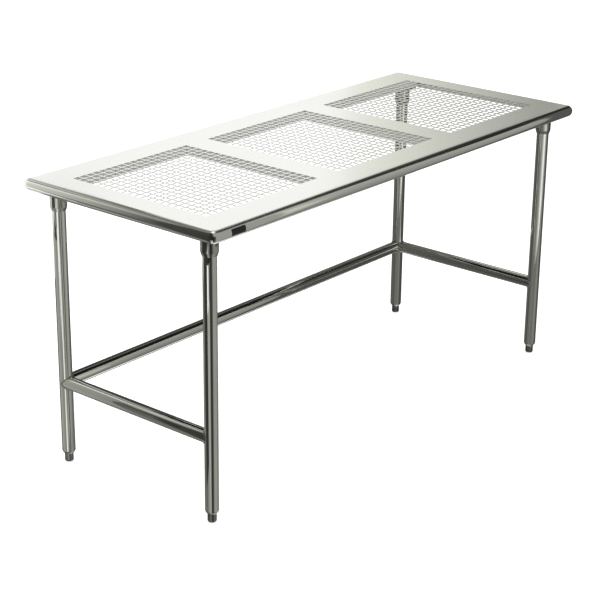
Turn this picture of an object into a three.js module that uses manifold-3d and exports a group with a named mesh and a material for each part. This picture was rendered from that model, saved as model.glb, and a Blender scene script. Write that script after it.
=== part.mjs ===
// Cleanroom work table in stainless steel, in millimetres with +Z up.
// The origin is on the floor under the middle of the top. +X runs along the
// length, and -Y is the front, which has no lower rail so that a person can sit there.
// Only the four levelling feet move: each bullet turns on its screw and travels with it.
import * as THREE from "three";
import { mergeGeometries, mergeVertices } from "three/addons/utils/BufferGeometryUtils.js";
import Module from "manifold-3d";

const wasm = await Module();
wasm.setup();

// Whole table
const TABLE_LENGTH = 1828.8;
const TABLE_DEPTH = 762;
const TABLE_HEIGHT = 914.4;
const SEAT_GAP = 0.3; // left between pieces that touch or are welded

// Top sheet with its rolled edge
const SHEET = 1.5;
const EDGE_RADIUS = 19.05; // outside of the half-round edge, seen from its end
const EDGE_LIP = 8; // flat return under the edge
const CORNER_INSIDE = 3; // plan radius of the corner where the flat top ends
const CORNER_TIP = 1; // plan radius of the corner at the end of the lip
const EDGE_FLANGE = 12; // flat band that joins the edge to the perforated plate
const PLATE_OVERLAP = 6; // how far the plate runs into that band

// Perforated fields
const FIELD_COUNT = 3;
const FIELD_END_MARGIN = 97.65; // from the end of the top to the first holes
const FIELD_SIDE_MARGIN = 116.7; // from the front or the back to the first holes
const FIELD_STRIP = 100.05; // solid strip between two fields
const HOLES_ALONG = 11; // coarser than the real 19
const HOLES_ACROSS = 12; // coarser than the real 21
const WEB = 8; // metal between two holes

// Channels under the solid strips of the top
const CHANNEL_WALL = 2;
const CHANNEL_HEIGHT = 35;
const CHANNEL_LIP = 12; // turned in at the top of each wall
const LONG_CHANNEL_WIDTH = 70;
const CROSS_CHANNEL_WIDTH = 84;
const CHANNEL_END_CLEARANCE = 3; // from the edge's lip

// Legs and rails, all of one tube
const TUBE_DIAMETER = 41.275;
const TUBE_WALL = 1.5;
const LEG_INSET_END = 69.85; // leg's axis from the end of the top
const LEG_INSET_SIDE = 79.4; // leg's axis from the front or the back
const RAIL_HEIGHT = 266.7; // rail's axis above the floor

// Sockets that hold the legs under the top
const SOCKET_WALL = 5;
const SOCKET_DEPTH = 45; // straight part of the collar
const SOCKET_BEVEL = 12; // height of the taper under it
const SOCKET_RIM = 1.2; // thickness left at the end of the taper
const SOCKET_FLANGE = 3; // thickness of the plate on the channel
const FLANGE_CORNER = 8;
const SCREW_DIAMETER = 8;
const SCREW_PROUD = 0.8; // how far the set screw stands out of the collar
const SCREW_CHAMFER = 0.6;

// Levelling feet
const BULLET_DIAMETER = 27.4;
const BULLET_HEIGHT = 27;
const BULLET_BASE = 20; // diameter of the flat that stands on the floor
const BULLET_NECK = 24; // diameter of the bullet's top face
const BULLET_NECK_HEIGHT = 4; // height of the taper up to that face
const BULLET_BASE_HEIGHT = 7; // height of the rounding over the floor
const STUD_DIAMETER = 12.7;
const STUD_SEAT = 15; // depth of the stud in the bullet
const STUD_CHAMFER = 1.5;
const STUD_CLEARANCE = 0.3; // all round the stud, in insert and bullet
const STUD_LENGTH = 58;
const INSERT_SHOULDER = 10; // height of the taper that shows under the leg
const INSERT_TIP = 29; // diameter at the lower end of the taper
const INSERT_PLUG = 25; // length of the plug inside the tube
const INSERT_CHAMFER = 1.5;

// Facets
const TUBE_STEPS = 24;
const SMALL_STEPS = 20;
const SCREW_STEPS = 12;
const EDGE_STEPS = 8;
const CORNER_STEPS = 5;
const BASE_STEPS = 3;

// Places and sizes that follow from the ones above
const legX = TABLE_LENGTH / 2 - LEG_INSET_END;
const legY = TABLE_DEPTH / 2 - LEG_INSET_SIDE;
const tubeRadius = TUBE_DIAMETER / 2;
const boreRadius = tubeRadius - TUBE_WALL;
const sheetUnderside = TABLE_HEIGHT - SHEET;
const channelTop = sheetUnderside - SEAT_GAP;
const channelBottom = channelTop - CHANNEL_HEIGHT;
const socketTop = channelBottom - SEAT_GAP;
const legTop = socketTop - SOCKET_FLANGE - SEAT_GAP;
const insertBottom = BULLET_HEIGHT + SEAT_GAP;
const legBottom = insertBottom + INSERT_SHOULDER + SEAT_GAP;
const edgeInside = EDGE_RADIUS + EDGE_LIP;
const allStrips = 2 * FIELD_END_MARGIN + (FIELD_COUNT - 1) * FIELD_STRIP;
const fieldLength = (TABLE_LENGTH - allStrips) / FIELD_COUNT;
const fieldDepth = TABLE_DEPTH - 2 * FIELD_SIDE_MARGIN;
const fieldSpacing = fieldLength + FIELD_STRIP;
const overrun = TUBE_DIAMETER; // how far cutting tools run past what they cut

// Solids

function toSolid(geometry) {
  const bare = geometry.clone();
  bare.deleteAttribute("normal");
  bare.deleteAttribute("uv");
  const merged = mergeVertices(bare);
  return new wasm.Manifold(
    new wasm.Mesh({
      numProp: 3,
      vertProperties: merged.attributes.position.array,
      triVerts: new Uint32Array(merged.index.array),
    }),
  );
}

function toGeometry(solid) {
  const mesh = solid.getMesh();
  const geometry = new THREE.BufferGeometry();
  geometry.setAttribute("position", new THREE.BufferAttribute(mesh.vertProperties, 3));
  geometry.setIndex(new THREE.BufferAttribute(mesh.triVerts, 1));
  geometry.computeVertexNormals();
  return geometry;
}

// Turns a profile of [radius, height] pairs round the Z axis. The profile
// starts and ends on the axis, or closes on itself, and runs up its outside.
function revolve(profile, steps) {
  const points = profile.map(([radius, height]) => new THREE.Vector2(radius, height));
  return new THREE.LatheGeometry(points, steps).rotateX(Math.PI / 2);
}

function closed(profile) {
  return [...profile, profile[0]];
}

// A solid bar about the origin along one of the axes
function bar(radius, length, axis, steps = TUBE_STEPS) {
  const geometry = new THREE.CylinderGeometry(radius, radius, length, steps);
  if (axis === "x") geometry.rotateZ(Math.PI / 2);
  if (axis === "z") geometry.rotateX(Math.PI / 2);
  return geometry;
}

// A rectangle with round corners, as points that run anticlockwise
function roundedRectangle(halfLength, halfWidth, radius, steps) {
  const points = [];
  for (let corner = 0; corner < 4; corner++) {
    const start = (corner * Math.PI) / 2;
    const alongX = corner === 0 || corner === 3 ? halfLength - radius : radius - halfLength;
    const alongY = corner < 2 ? halfWidth - radius : radius - halfWidth;
    for (let step = 0; step <= steps; step++) {
      const angle = start + (step / steps) * (Math.PI / 2);
      points.push(
        new THREE.Vector2(alongX + radius * Math.cos(angle), alongY + radius * Math.sin(angle)),
      );
    }
  }
  return points;
}

// A closed skin through rings of equally many points, where the last ring
// joins the first. The rings go round the section anticlockwise, seen so that
// the ring's own points come towards the eye.
function ringSkin(rings) {
  const count = rings[0].length;
  const positions = rings.flatMap((ring) => ring.flatMap((point) => point.toArray()));
  const index = [];
  rings.forEach((ring, level) => {
    const next = (level + 1) % rings.length;
    for (let here = 0; here < count; here++) {
      const beside = (here + 1) % count;
      const a = level * count + here;
      const b = level * count + beside;
      const c = next * count + beside;
      const d = next * count + here;
      index.push(a, c, b, a, d, c);
    }
  });
  const geometry = new THREE.BufferGeometry();
  geometry.setAttribute("position", new THREE.Float32BufferAttribute(positions, 3));
  geometry.setIndex(index);
  return geometry;
}

// Top sheet

// The rolled edge's section as [inset from the table's outline, height] pairs:
// out over the flat top, round the edge, under it and back along the inside.
function edgeSection() {
  const middle = TABLE_HEIGHT - EDGE_RADIUS;
  const arc = (radius, from, to) =>
    Array.from({ length: EDGE_STEPS + 1 }, (unused, step) => {
      const angle = from + ((to - from) * step) / EDGE_STEPS;
      return [EDGE_RADIUS - radius * Math.cos(angle), middle + radius * Math.sin(angle)];
    });
  const quarter = Math.PI / 2;
  const under = TABLE_HEIGHT - 2 * EDGE_RADIUS;
  return [
    [EDGE_RADIUS + EDGE_FLANGE, TABLE_HEIGHT],
    ...arc(EDGE_RADIUS, quarter, -quarter),
    [edgeInside, under],
    [edgeInside, under + SHEET],
    ...arc(EDGE_RADIUS - SHEET, -quarter, quarter),
    [EDGE_RADIUS + EDGE_FLANGE, sheetUnderside],
  ];
}

function rolledEdge() {
  const cornerRadius = EDGE_RADIUS + CORNER_INSIDE;
  const rings = edgeSection().map(([inset, height]) =>
    roundedRectangle(
      TABLE_LENGTH / 2 - inset,
      TABLE_DEPTH / 2 - inset,
      Math.max(cornerRadius - inset, CORNER_TIP),
      CORNER_STEPS,
    ).map((point) => new THREE.Vector3(point.x, point.y, height)),
  );
  return ringSkin(rings);
}

// Every hole of the perforated fields as a block that cuts through the sheet
function holeBlocks() {
  const holeLength = (fieldLength - (HOLES_ALONG - 1) * WEB) / HOLES_ALONG;
  const holeDepth = (fieldDepth - (HOLES_ACROSS - 1) * WEB) / HOLES_ACROSS;
  const blocks = [];
  for (let field = 0; field < FIELD_COUNT; field++) {
    const fieldMiddle = (field - (FIELD_COUNT - 1) / 2) * fieldSpacing;
    for (let column = 0; column < HOLES_ALONG; column++) {
      const alongX = fieldMiddle + (column - (HOLES_ALONG - 1) / 2) * (holeLength + WEB);
      for (let row = 0; row < HOLES_ACROSS; row++) {
        const alongY = (row - (HOLES_ACROSS - 1) / 2) * (holeDepth + WEB);
        const block = new THREE.BoxGeometry(holeLength, holeDepth, SHEET + overrun);
        blocks.push(block.translate(alongX, alongY, TABLE_HEIGHT - SHEET / 2));
      }
    }
  }
  return mergeGeometries(blocks);
}

function topSheet() {
  const inset = EDGE_RADIUS + EDGE_FLANGE - PLATE_OVERLAP;
  const plate = new THREE.BoxGeometry(
    TABLE_LENGTH - 2 * inset,
    TABLE_DEPTH - 2 * inset,
    SHEET,
  ).translate(0, 0, TABLE_HEIGHT - SHEET / 2);
  const blank = toSolid(rolledEdge()).add(toSolid(plate));
  return toGeometry(blank.subtract(toSolid(holeBlocks())));
}

// Channels: an open box section whose walls turn in at the top

function channel(width, length) {
  const outside = width / 2;
  const inside = outside - CHANNEL_WALL;
  const lipEnd = outside - CHANNEL_LIP;
  const underLip = CHANNEL_HEIGHT - CHANNEL_WALL;
  const half = [
    [outside, 0],
    [outside, CHANNEL_HEIGHT],
    [lipEnd, CHANNEL_HEIGHT],
    [lipEnd, underLip],
    [inside, underLip],
    [inside, CHANNEL_WALL],
  ];
  const mirrored = half.map(([across, up]) => [-across, up]).reverse();
  const section = new THREE.Shape(
    [...half, ...mirrored].map(([across, up]) => new THREE.Vector2(across, up)),
  );
  const geometry = new THREE.ExtrudeGeometry(section, { depth: length, bevelEnabled: false });
  return geometry.translate(0, 0, -length / 2).rotateX(Math.PI / 2);
}

// Legs and rails

function tubeProfile(bottom, top) {
  return closed([
    [boreRadius, bottom],
    [tubeRadius, bottom],
    [tubeRadius, top],
    [boreRadius, top],
  ]);
}

// A rail along one axis about the origin, shaped at both ends to the legs.
// Inward is the way from a side rail to the middle of the table.
function rail(axis, halfLength, inward = 0) {
  const length = 2 * halfLength;
  let solid = toSolid(bar(tubeRadius, length, axis)).subtract(
    toSolid(bar(boreRadius, length + overrun, axis)),
  );
  const place = (geometry, distance) =>
    axis === "x" ? geometry.translate(distance, 0, 0) : geometry.translate(0, distance, 0);
  for (const side of [-1, 1]) {
    const legTool = bar(tubeRadius + SEAT_GAP, TUBE_DIAMETER + overrun, "z");
    solid = solid.subtract(toSolid(place(legTool, side * halfLength)));
  }
  // A side rail also gives way to the back rail, which starts at the leg's axis.
  if (inward) {
    const railTool = bar(tubeRadius + SEAT_GAP, overrun, "x");
    railTool.translate((inward * overrun) / 2, 0, 0);
    solid = solid.subtract(toSolid(place(railTool, halfLength)));
  }
  return toGeometry(solid);
}

// Sockets: a collar under a plate, with a hole for the set screw at the front

const collarRadius = tubeRadius + SEAT_GAP + SOCKET_WALL;
const screwDrop = SOCKET_FLANGE + SOCKET_DEPTH / 2;

function socket() {
  const inside = tubeRadius + SEAT_GAP;
  const under = -SOCKET_FLANGE;
  const collar = revolve(
    [
      [0, under],
      [inside, under],
      [inside, under - SOCKET_DEPTH - SOCKET_BEVEL],
      [inside + SOCKET_RIM, under - SOCKET_DEPTH - SOCKET_BEVEL],
      [collarRadius, under - SOCKET_DEPTH],
      [collarRadius, under / 2],
      [0, under / 2],
    ],
    TUBE_STEPS,
  );
  const flangeOutline = roundedRectangle(
    LEG_INSET_END - edgeInside - CHANNEL_END_CLEARANCE,
    LONG_CHANNEL_WIDTH / 2,
    FLANGE_CORNER,
    BASE_STEPS,
  );
  const flange = new THREE.ExtrudeGeometry(new THREE.Shape(flangeOutline), {
    depth: SOCKET_FLANGE,
    bevelEnabled: false,
  }).translate(0, 0, under);
  const screwHole = bar(SCREW_DIAMETER / 2 + SEAT_GAP, collarRadius, "y", SCREW_STEPS).translate(
    0,
    -collarRadius,
    -screwDrop,
  );
  return toGeometry(toSolid(collar).add(toSolid(flange)).subtract(toSolid(screwHole)));
}

// The set screw lies along Z with its point up, from its head at zero.
function setScrew() {
  const radius = SCREW_DIAMETER / 2;
  const length = SOCKET_WALL + SCREW_PROUD;
  return revolve(
    [
      [0, 0],
      [radius - SCREW_CHAMFER, 0],
      [radius, SCREW_CHAMFER],
      [radius, length - SCREW_CHAMFER],
      [radius - SCREW_CHAMFER, length],
      [0, length],
    ],
    SCREW_STEPS,
  );
}

// Levelling feet

const studBore = STUD_DIAMETER / 2 + STUD_CLEARANCE;

function insert() {
  const plugRadius = boreRadius - SEAT_GAP;
  const top = INSERT_SHOULDER + SEAT_GAP + INSERT_PLUG;
  return revolve(
    closed([
      [studBore, 0],
      [INSERT_TIP / 2, 0],
      [tubeRadius, INSERT_SHOULDER],
      [plugRadius, INSERT_SHOULDER],
      [plugRadius, top - INSERT_CHAMFER],
      [plugRadius - INSERT_CHAMFER, top],
      [studBore, top],
    ]),
    SMALL_STEPS,
  );
}

function bullet() {
  const base = BULLET_BASE / 2;
  const swell = BULLET_DIAMETER / 2 - base;
  const rounding = Array.from({ length: BASE_STEPS + 1 }, (unused, step) => {
    const angle = (step / BASE_STEPS) * (Math.PI / 2);
    return [base + swell * Math.sin(angle), BULLET_BASE_HEIGHT * (1 - Math.cos(angle))];
  });
  const seat = BULLET_HEIGHT - STUD_SEAT;
  return revolve(
    [
      [0, 0],
      ...rounding,
      [BULLET_DIAMETER / 2, BULLET_HEIGHT - BULLET_NECK_HEIGHT],
      [BULLET_NECK / 2, BULLET_HEIGHT],
      [studBore, BULLET_HEIGHT],
      [studBore, seat],
      [0, seat],
    ],
    SMALL_STEPS,
  );
}

function stud() {
  const radius = STUD_DIAMETER / 2;
  return revolve(
    [
      [0, 0],
      [radius, 0],
      [radius, STUD_LENGTH - STUD_CHAMFER],
      [radius - STUD_CHAMFER, STUD_LENGTH],
      [0, STUD_LENGTH],
    ],
    SCREW_STEPS,
  );
}

// Materials, from the colours of the photograph

function steel(colour, roughness) {
  return new THREE.MeshStandardMaterial({ color: colour, roughness, metalness: 1 });
}

const topSteel = () => steel(0xc9c9c4, 0.32);
const channelSteel = () => steel(0x9a9b98, 0.45);
const tubeSteel = () => steel(0xa8a8a2, 0.24);
const socketSteel = () => steel(0x8f8f8a, 0.35);
const footSteel = () => steel(0x6e6e6b, 0.4);
const screwSteel = () => steel(0x4a4a48, 0.5);

// Assembly

const table = new THREE.Group();

function addPiece(parent, name, geometry, material, place = [0, 0, 0]) {
  const piece = new THREE.Mesh(geometry, material);
  piece.name = name;
  piece.position.set(...place);
  parent.add(piece);
  return piece;
}

addPiece(table, "top_sheet", topSheet(), topSteel());

const longChannelLength = TABLE_LENGTH - 2 * (edgeInside + CHANNEL_END_CLEARANCE);
for (const [name, side] of [["front", -1], ["back", 1]]) {
  const piece = addPiece(
    table,
    `${name}_channel`,
    channel(LONG_CHANNEL_WIDTH, longChannelLength),
    channelSteel(),
    [0, side * legY, channelBottom],
  );
  piece.rotation.z = Math.PI / 2;
}

const crossChannelLength = 2 * (legY - LONG_CHANNEL_WIDTH / 2 - SEAT_GAP);
for (const [name, side] of [["left", -1], ["right", 1]]) {
  addPiece(
    table,
    `${name}_cross_channel`,
    channel(CROSS_CHANNEL_WIDTH, crossChannelLength),
    channelSteel(),
    [(side * fieldSpacing) / 2, 0, channelBottom],
  );
}

for (const [front, alongY] of [["front", -1], ["back", 1]]) {
  for (const [left, alongX] of [["left", -1], ["right", 1]]) {
    const corner = `${front}_${left}`;
    const leg = new THREE.Group();
    leg.position.set(alongX * legX, alongY * legY, 0);
    table.add(leg);
    addPiece(leg, `leg_socket_${corner}`, socket(), socketSteel(), [0, 0, socketTop]);
    const screw = addPiece(leg, `set_screw_${corner}`, setScrew(), screwSteel(), [
      0,
      -collarRadius - SCREW_PROUD,
      socketTop - screwDrop,
    ]);
    screw.rotation.x = -Math.PI / 2;
    addPiece(leg, `leg_${corner}`, revolve(tubeProfile(legBottom, legTop), TUBE_STEPS), tubeSteel());
    addPiece(leg, `foot_insert_${corner}`, insert(), footSteel(), [0, 0, insertBottom]);
    addPiece(leg, `foot_stud_${corner}`, stud(), footSteel(), [
      0,
      0,
      BULLET_HEIGHT - STUD_SEAT + SEAT_GAP,
    ]);
    addPiece(leg, `foot_bullet_${corner}`, bullet(), footSteel());
  }
}

for (const [name, side] of [["left", -1], ["right", 1]]) {
  addPiece(table, `${name}_rail`, rail("y", legY, -side), tubeSteel(), [side * legX, 0, RAIL_HEIGHT]);
}
addPiece(table, "back_rail", rail("x", legX), tubeSteel(), [0, legY, RAIL_HEIGHT]);

export default table;
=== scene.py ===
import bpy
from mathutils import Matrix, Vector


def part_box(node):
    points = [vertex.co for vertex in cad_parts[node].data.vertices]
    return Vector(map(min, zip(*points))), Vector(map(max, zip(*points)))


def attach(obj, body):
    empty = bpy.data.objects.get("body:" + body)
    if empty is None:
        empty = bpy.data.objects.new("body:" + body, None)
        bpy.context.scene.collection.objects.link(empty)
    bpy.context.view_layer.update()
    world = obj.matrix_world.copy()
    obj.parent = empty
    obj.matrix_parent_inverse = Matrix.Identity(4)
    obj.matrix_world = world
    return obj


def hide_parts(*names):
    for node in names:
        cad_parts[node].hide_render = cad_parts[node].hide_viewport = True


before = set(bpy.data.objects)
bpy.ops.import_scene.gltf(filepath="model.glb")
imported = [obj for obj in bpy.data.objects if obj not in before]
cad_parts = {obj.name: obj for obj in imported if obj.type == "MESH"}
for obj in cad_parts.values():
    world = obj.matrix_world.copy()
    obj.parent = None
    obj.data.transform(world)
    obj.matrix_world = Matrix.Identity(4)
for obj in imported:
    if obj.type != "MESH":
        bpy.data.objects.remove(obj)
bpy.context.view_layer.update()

import math
from collections import namedtuple

import bmesh
import bpy
from bpy.props import FloatProperty, FloatVectorProperty, IntProperty, PointerProperty
from mathutils import Matrix, Vector

bl_info = {
    "name": "Cleanroom table",
    "version": (1, 0, 0),
    "blender": (4, 5, 0),
    "location": "View3D > Sidebar > Cleanroom table",
    "description": "Dresses the packed cleanroom table: perforated top, tube frame, sockets "
                   "and feet",
    "category": "Object",
}

BODY = "table"
CORNERS = [f"{front}_{left}" for front in ("front", "back") for left in ("left", "right")]
TOP_LOW, TOP_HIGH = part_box("top_sheet")
LEG_LOW, LEG_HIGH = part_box("leg_front_left")
RAIL_LOW, RAIL_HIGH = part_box("left_rail")
STUD_LOW, STUD_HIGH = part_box("foot_stud_front_left")

MM = 0.001
SAME_PLACE = 0.001 * MM
SHARP_EDGE = math.radians(35)
QUARTER = math.pi / 2
# Faces round a piece, and steps of a rounded corner
TUBE_SIDES = 72
TURNED_SIDES = 64
STUD_SIDES = 48
SCREW_SIDES = 24
BEAD_SIDES = 8
BEAD_POINTS = 96
RAIL_LEVELS = 3
THREAD_STEPS = 24
CORNER_STEPS = 8
EDGE_STEPS = 20
HOLE_STEPS = 2
ARC_STEPS = 4
TUBE_EDGE_STEPS = 3
FOLD_STEPS = 5
FLANGE_STEPS = 6
BULLET_STEPS = 8
PLATE_CORNER_STEPS = 6
PLATE_STEPS = 12
# The largest share of a side that one rounded corner takes up
CORNER_SHARE = 0.48
# Radii of broken edges
KEEN = 0.2 * MM
FINE = 0.4 * MM
SOFT = 0.6 * MM
BLUNT = 1.2 * MM


# Settings

def metres(name, description, default):
    return FloatProperty(
        name=name, description=description, default=default, min=0.0, unit="LENGTH", precision=4
    )


def degrees(name, description, default):
    return FloatProperty(
        name=name, description=description, default=math.radians(default), subtype="ANGLE"
    )


def number(name, description, default):
    return IntProperty(name=name, description=description, default=default, min=1)


def tint(name, description, default):
    return FloatVectorProperty(
        name=name, description=description, default=default, size=3, min=0.0, max=1.0,
        subtype="COLOR",
    )


def fraction(name, description, default):
    return FloatProperty(
        name=name, description=description, default=default, min=0.0, max=1.0, subtype="FACTOR"
    )


class TopSettings(bpy.types.PropertyGroup):
    """Sizes of the perforated top"""

    length: metres("Length", "Over the rolled edges, along X", TOP_HIGH.x - TOP_LOW.x)
    depth: metres("Depth", "Over the rolled edges, along Y", TOP_HIGH.y - TOP_LOW.y)
    height: metres("Height", "Of the work surface over the floor", TOP_HIGH.z)
    sheet: metres("Sheet", "Thickness of the sheet", 1.5 * MM)
    edge_radius: metres("Edge radius", "Of the half-round edge", (TOP_HIGH.z - TOP_LOW.z) / 2)
    edge_lip: metres("Edge lip", "Flat return under the edge", 8 * MM)
    corner_radius: metres("Corner radius", "Of the outline in plan", 22.05 * MM)
    border: metres("Border", "From the outline to where the flat strips begin", 31 * MM)
    hole_pitch: metres("Hole pitch", "From one hole to the next", 25.4 * MM)
    hole_width: metres("Hole width", "Of each square hole", 20.6 * MM)
    hole_corner: metres("Hole corner", "Radius of a hole's corners", 1.0 * MM)
    holes_along: number("Holes along", "In one field along X", 19)
    holes_across: number("Holes across", "In one field along Y", 21)
    fields: number("Fields", "Perforated fields", 3)
    field_spacing: metres("Field spacing", "From one field's middle to the next one's", 577.85 * MM)
    plate_place: FloatProperty(
        name="Plate place", description="Middle of the blank plate along X", default=-0.8125,
        unit="LENGTH",
    )
    plate_length: metres("Plate length", "Of the blank plate along X", 57 * MM)
    plate_reach: metres("Plate reach", "Of the blank plate round the edge", 19.5 * MM)
    plate_corner: metres("Plate corner", "Radius of the plate's corners", 2 * MM)
    plate_skin: metres("Plate skin", "How far the plate stands proud", 0.05 * MM)
    plate_angle: degrees("Plate angle", "Of the plate's middle, from straight up", 81)


class ChannelSettings(bpy.types.PropertyGroup):
    """Sizes of the channels under the top"""

    wall: metres("Wall", "Thickness of the channels", 2 * MM)
    lip: metres("Lip", "Turned in at the top of each wall", 12 * MM)
    bend: metres("Bend", "Outside radius of the folds", 4.5 * MM)


class FrameSettings(bpy.types.PropertyGroup):
    """Sizes of the legs, rails and welds"""

    tube: metres("Tube", "Outside diameter of legs and rails", LEG_HIGH.x - LEG_LOW.x)
    wall: metres("Wall", "Thickness of the tube", 1.5 * MM)
    gap: metres("Gap", "Between a rail's end and the leg, under the weld", 0.3 * MM)
    bead: metres("Bead", "Radius of the weld bead", 2.1 * MM)
    ripple: fraction("Ripple", "How much the bead swells and shrinks", 0.09)
    ripple_length: metres("Ripple length", "From one swelling to the next", 2.6 * MM)


class SocketSettings(bpy.types.PropertyGroup):
    """Sizes of the leg sockets and their set screws"""

    collar_wall: metres("Collar wall", "Thickness of the collar", 5 * MM)
    flange: metres("Flange", "Thickness of the plate on the channel", 3 * MM)
    flange_corner: metres("Flange corner", "Radius of the plate's corners", 8 * MM)
    bevel_height: metres("Bevel", "Height of the taper under the collar", 12 * MM)
    rim: metres("Rim", "Thickness left at the end of the taper", 1.2 * MM)
    weld: metres("Weld", "Fillet between collar and plate", 4 * MM)
    key: metres("Key", "Across the flats of the screw's socket", 4 * MM)
    key_depth: metres("Key depth", "Depth of the screw's socket", 2.6 * MM)


class FootSettings(bpy.types.PropertyGroup):
    """Sizes of the levelling feet"""

    base: metres("Base", "Diameter of the flat that stands on the floor", 20 * MM)
    neck: metres("Neck", "Diameter of the bullet's top face", 24 * MM)
    neck_height: metres("Neck height", "Of the taper up to that face", 4 * MM)
    base_height: metres("Base height", "Of the rounding over the floor", 7 * MM)
    seat: metres("Seat", "Depth of the stud in the bullet", 15 * MM)
    clearance: metres("Clearance", "All round the stud", 0.3 * MM)
    tip: metres("Tip", "Lower diameter of the insert's shoulder", 29 * MM)
    shoulder: metres("Shoulder", "Height of the taper under the leg", 10 * MM)
    thread_pitch: metres("Thread pitch", "Of the stud", 25.4 / 13 * MM)
    thread_depth: metres("Thread depth", "Of the stud", 1.0 * MM)


class FinishSettings(bpy.types.PropertyGroup):
    """Colours and polish"""

    top: tint("Top", "Steel of the top", (0.92, 0.925, 0.885))
    tube: tint("Tube", "Steel of legs and rails", (0.84, 0.845, 0.80))
    channel: tint("Channel", "Steel of the channels", (0.90, 0.90, 0.86))
    socket: tint("Socket", "Steel of the sockets", (0.60, 0.605, 0.56))
    insert: tint("Insert", "Steel of the leg inserts", (0.45, 0.45, 0.43))
    stud: tint("Stud", "Steel of the threaded studs", (0.42, 0.42, 0.41))
    foot: tint("Foot", "Steel of the bullets", (0.34, 0.34, 0.32))
    screw: tint("Screw", "Set screws", (0.05, 0.05, 0.05))
    weld: tint("Weld", "Weld beads", (0.36, 0.35, 0.33))
    plate: tint("Plate", "Blank plate on the front edge", (0.006, 0.006, 0.006))
    top_roughness: fraction("Top roughness", "Of the brushed top", 0.20)
    edge_roughness: fraction("Edge roughness", "Of the rolled edge, worn smooth", 0.13)
    raw_roughness: fraction("Raw roughness", "Of hole walls and the underside", 0.5)
    tube_roughness: fraction("Tube roughness", "Of the polished tube", 0.07)
    # Painted shade: the share of their colour that the hole walls keep, darker than the top
    hole_wall_painted_shade: fraction("Hole tone", "Of the punched hole walls beside the top", 0.4)


class StudioSettings(bpy.types.PropertyGroup):
    """Camera and light"""

    position: FloatVectorProperty(
        name="Camera", description="Place of the camera", default=(-4.0244, -3.2584, 2.3535),
        size=3, subtype="TRANSLATION",
    )
    azimuth: degrees("Azimuth", "Where the camera looks from, round Z", -50.35)
    elevation: degrees("Elevation", "How far the camera looks down", 21.0)
    roll: degrees("Roll", "Turn of the picture", 0.62)
    lens: FloatProperty(
        name="Lens", description="Focal length on a 36 mm sensor, in millimetres", default=101.2
    )
    sky: fraction("Sky", "Brightness of the surroundings for matt surfaces", 0.72)
    lamp: FloatProperty(
        name="Lamp", description="Brightness of the soft light's face, where 1 is white",
        default=1.35, min=0.0,
    )


# Mesh helpers

def linked(name, data):
    """An object in the scene."""
    thing = bpy.data.objects.new(name, data)
    bpy.context.scene.collection.objects.link(thing)
    return thing


def finish_piece(name, mesh, body, material, nodes=()):
    """Links a mesh as a piece of the table, shaded smooth except at sharp edges."""
    piece = linked(name, mesh)
    mesh.materials.clear()
    mesh.materials.append(material)
    mesh.polygons.foreach_set("use_smooth", [True] * len(mesh.polygons))
    mesh.set_sharp_from_angle(angle=SHARP_EDGE)
    mesh.update()
    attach(piece, body)
    if nodes:
        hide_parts(*nodes)


def corner_place(corner):
    """Where a leg stands in plan."""
    low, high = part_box(f"leg_{corner}")
    return (low.x + high.x) / 2, (low.y + high.y) / 2


def finish_corners(family, solid, material, build, moves=False):
    """Builds a piece for the same solid at every corner; one that moves is its own body."""
    for corner in CORNERS:
        node = f"{solid}_{corner}"
        mesh = build(f"{family}_{corner}", *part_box(node), corner_place(corner))
        finish_piece(f"{family}_{corner}", mesh, node if moves else BODY, material, [node])


def joined(name, meshes):
    """Several meshes as one."""
    work = bmesh.new()
    for mesh in meshes:
        work.from_mesh(mesh)
        bpy.data.meshes.remove(mesh)
    mesh = bpy.data.meshes.new(name)
    work.to_mesh(mesh)
    work.free()
    return mesh


def rounded(outline, steps, closed=True):
    """The outline of (x, y, radius) corners, with an arc of its radius at each corner."""
    points = []
    count = len(outline)
    for index, (x, y, radius) in enumerate(outline):
        here = Vector((x, y))
        if radius == 0 or (not closed and index in (0, count - 1)):
            points.append(here)
            continue
        before = Vector(outline[index - 1][:2]) - here
        after = Vector(outline[(index + 1) % count][:2]) - here
        turn = before.angle(after)
        reach = min(
            radius / math.tan(turn / 2), CORNER_SHARE * before.length, CORNER_SHARE * after.length
        )
        start, end = here + before.normalized() * reach, here + after.normalized() * reach
        for step in range(steps + 1):
            share = step / steps
            points.append(
                start * (1 - share) ** 2 + here * (2 * share * (1 - share)) + end * share**2
            )
    return points


def round_rectangle(half_x, half_y, radius, steps):
    """A rectangle with round corners about the origin."""
    return rounded(
        [(half_x, -half_y, radius), (half_x, half_y, radius), (-half_x, half_y, radius),
         (-half_x, -half_y, radius)], steps,
    )


def quads(rings, count, around=False, closed=True):
    """Faces between neighbouring rings of equally many points."""
    return [
        (level * count + here, level * count + (here + 1) % count,
         (level + 1) % rings * count + (here + 1) % count, (level + 1) % rings * count + here)
        for level in range(rings if around else rings - 1)
        for here in range(count if closed else count - 1)
    ]


def lofted(name, rings, around=False, closed=True):
    """A skin through rings of equally many points, with flat ends unless it runs round."""
    count = len(rings[0])
    faces = quads(len(rings), count, around, closed)
    if not around:
        faces.append(tuple(range(count)))
        faces.append(tuple(range((len(rings) - 1) * count, len(rings) * count)))
    mesh = bpy.data.meshes.new(name)
    mesh.from_pydata([tuple(point) for ring in rings for point in ring], [], faces)
    work = bmesh.new()
    work.from_mesh(mesh)
    bmesh.ops.remove_doubles(work, verts=work.verts, dist=SAME_PLACE)
    bmesh.ops.recalc_face_normals(work, faces=work.faces)
    work.to_mesh(mesh)
    work.free()
    return mesh


def round_angles(steps):
    return [step / steps * math.tau for step in range(steps)]


def turned(name, corners, sides, centre, steps=ARC_STEPS, closed=True):
    """Turns (radius, height, rounding) corners round a vertical axis through the centre."""
    outline = rounded(corners, steps, closed)
    rings = [
        [(centre[0] + radius * math.cos(angle), centre[1] + radius * math.sin(angle), height)
         for radius, height in outline]
        for angle in round_angles(sides)
    ]
    return lofted(name, rings, around=True, closed=closed)


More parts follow.
